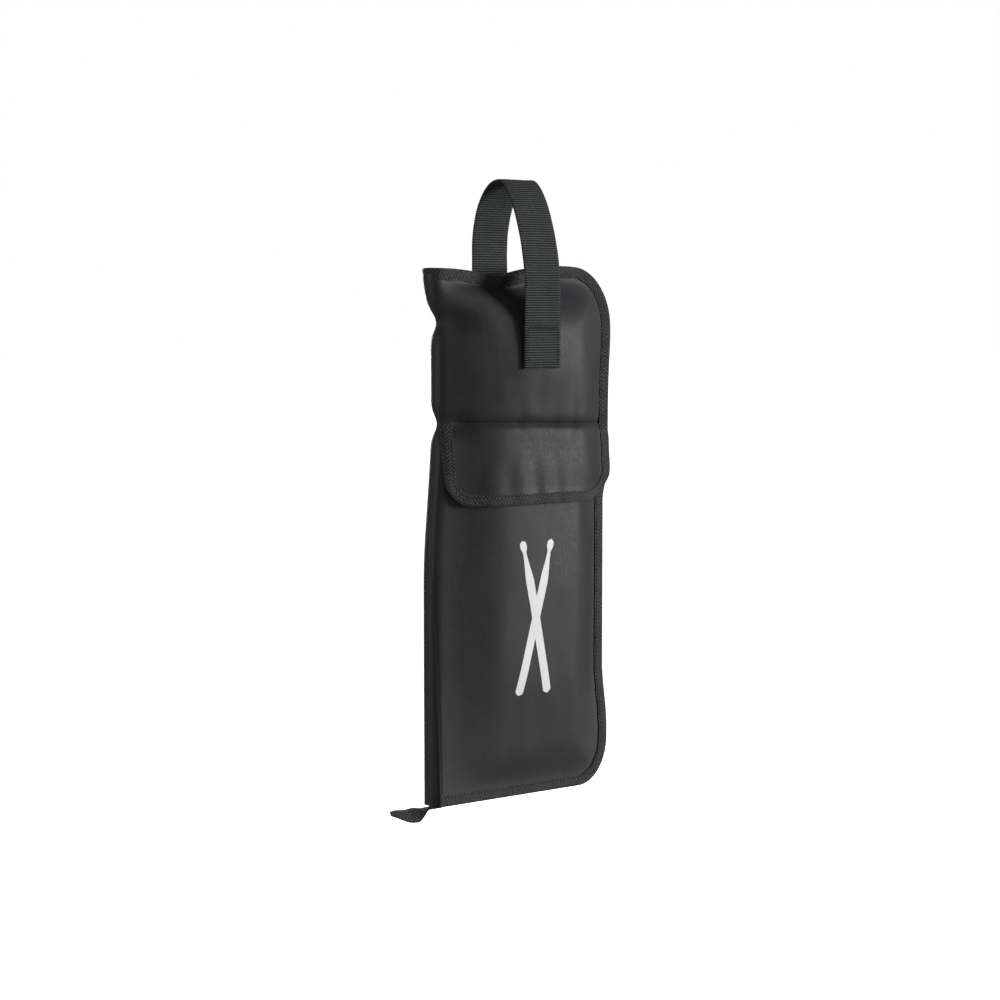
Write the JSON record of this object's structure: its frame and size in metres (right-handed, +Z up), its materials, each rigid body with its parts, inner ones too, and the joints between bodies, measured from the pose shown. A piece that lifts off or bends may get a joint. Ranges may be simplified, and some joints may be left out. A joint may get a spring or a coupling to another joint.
{
  "type": "drum stick bag",
  "caption": "Padded fabric drum stick bag that opens like a book, with a webbing handle, a front accessory pocket under a bound flap and a zip round the open sides.",
  "frame": {"origin": "the underside of the handle's arch at its middle, where the bag hangs", "axes": "+Z up the bag's height from its bottom edge to the handle, +X from the spine to the free edge, -Y out of the front with the accessory pocket"},
  "size_m": [0.227, 0.0765, 0.5493],
  "materials": {
    "nylon_shell": "black woven nylon with a soft sheen",
    "binding_tape": "black herringbone tape, matt",
    "webbing": "black ribbed webbing, matt",
    "lining": "black plain weave",
    "foam": "soft foam, matt",
    "zip_tape": "black woven tape",
    "zip_coil": "black nylon coil",
    "zip_metal": "black painted metal",
    "hook_and_loop": "black brushed pile"
  },
  "bodies": {
    "back_cover": {"back_shell": "nylon_shell", "back_padding": "foam", "back_lining": "lining", "back_edge_binding": "binding_tape", "back_stick_pocket": "lining", "back_stick_pocket_binding": "binding_tape", "handle_back": "webbing", "zip_tape_back": "zip_tape", "zip_chain_back": "zip_coil", "zip_stop_back": "zip_metal", "zip_tail_tab": "binding_tape"},
    "front_cover": {"front_shell": "nylon_shell", "front_padding": "foam", "front_lining": "lining", "front_edge_binding": "binding_tape", "front_stick_pocket": "lining", "front_stick_pocket_binding": "binding_tape", "accessory_pocket": "nylon_shell", "accessory_pocket_binding": "binding_tape", "pocket_loop_strip": "hook_and_loop", "handle_front": "webbing", "zip_tape_front": "zip_tape", "zip_chain_front": "zip_coil", "zip_stop_front": "zip_metal"},
    "pocket_flap": {"flap_panel": "nylon_shell", "flap_binding": "binding_tape", "flap_hook_strip": "hook_and_loop"},
    "zip_slider": {"slider_body": "zip_metal"},
    "zip_pull": {"pull_tab": "zip_metal"}
  },
  "joints": [
    {"name": "cover_fold", "type": "hinge", "parent": "back_cover", "child": "front_cover", "pos_m": [-0.095, 0, -0.3029], "axis": [0, 0, -1], "range_deg": [0, 180]},
    {"name": "flap_fold", "type": "hinge", "parent": "front_cover", "child": "pocket_flap", "pos_m": [0, -0.03313, -0.2054], "axis": [-1, 0, 0], "range_deg": [0, 130]},
    {"name": "slider_travel", "type": "slide", "parent": "back_cover", "child": "zip_slider", "axis": [1, 0, 0], "range_m": [0, 0.11]},
    {"name": "pull_swing", "type": "hinge", "parent": "zip_slider", "child": "zip_pull", "pos_m": [-0.0744, 0, -0.07781], "axis": [0, -1, 0], "range_deg": [0, 150]}
  ]
}
